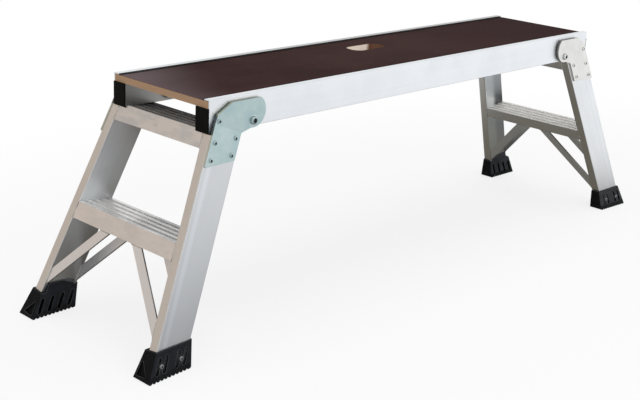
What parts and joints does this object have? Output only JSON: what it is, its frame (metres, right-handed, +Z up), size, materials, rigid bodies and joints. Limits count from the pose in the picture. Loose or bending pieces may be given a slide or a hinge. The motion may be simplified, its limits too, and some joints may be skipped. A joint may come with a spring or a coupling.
{
  "type": "folding work trestle",
  "caption": "Folding work platform: a plywood deck in aluminium rails on two splayed leg frames with grooved step treads and rubber feet, which pivot flat under the deck.",
  "frame": {"origin": "on the floor under the middle of the deck", "axes": "+Z up, +X along the deck, +Y across it towards the long side nearer the hand slot"},
  "size_m": [1.7536, 0.4426, 0.514],
  "materials": {
    "aluminium": "extruded mill finish, lightly scuffed",
    "tread_aluminium": "extruded mill finish with worn ridge tops",
    "zinc_plated_plate": "zinc plated, cool grey, satin",
    "zinc_plated_steel": "zinc plated, satin",
    "film_faced_plywood": "dark brown phenolic film with bare ply edges",
    "black_plastic": "moulded, matt",
    "black_rubber": "moulded, matt, ribbed"
  },
  "bodies": {
    "deck": {"deck_board": "film_faced_plywood", "front_rail": "aluminium", "rear_rail": "aluminium", "left_bearer": "aluminium", "right_bearer": "aluminium", "deck_screws": "zinc_plated_steel", "pivot_bolts": "zinc_plated_steel", "pivot_washers": "zinc_plated_steel", "pivot_sleeves": "zinc_plated_steel", "pivot_nuts": "zinc_plated_steel", "left_front_end_cap": "black_plastic", "left_rear_end_cap": "black_plastic", "right_front_end_cap": "black_plastic", "right_rear_end_cap": "black_plastic"},
    "left_frame": {"left_foot_bolts": "zinc_plated_steel", "left_foot_nuts": "zinc_plated_steel", "left_front_foot": "black_rubber", "left_front_hinge_plate": "zinc_plated_plate", "left_front_inner_brace": "aluminium", "left_front_leg": "aluminium", "left_front_outer_brace": "aluminium", "left_hinge_rivets": "zinc_plated_steel", "left_lower_tread": "tread_aluminium", "left_rear_foot": "black_rubber", "left_rear_hinge_plate": "zinc_plated_plate", "left_rear_inner_brace": "aluminium", "left_rear_leg": "aluminium", "left_rear_outer_brace": "aluminium", "left_stop_studs": "zinc_plated_steel", "left_top_tread": "tread_aluminium"},
    "right_frame": {"right_foot_bolts": "zinc_plated_steel", "right_foot_nuts": "zinc_plated_steel", "right_front_foot": "black_rubber", "right_front_hinge_plate": "zinc_plated_plate", "right_front_inner_brace": "aluminium", "right_front_leg": "aluminium", "right_front_outer_brace": "aluminium", "right_hinge_rivets": "zinc_plated_steel", "right_lower_tread": "tread_aluminium", "right_rear_foot": "black_rubber", "right_rear_hinge_plate": "zinc_plated_plate", "right_rear_inner_brace": "aluminium", "right_rear_leg": "aluminium", "right_rear_outer_brace": "aluminium", "right_stop_studs": "zinc_plated_steel", "right_top_tread": "tread_aluminium"}
  },
  "joints": [
    {"name": "left_frame_fold", "type": "hinge", "parent": "deck", "child": "left_frame", "pos_m": [-0.565, 0, 0.4597], "axis": [0, -1, 0], "range_deg": [0, 113]},
    {"name": "right_frame_fold", "type": "hinge", "parent": "deck", "child": "right_frame", "pos_m": [0.565, 0, 0.4597], "axis": [0, 1, 0], "range_deg": [0, 113]}
  ]
}
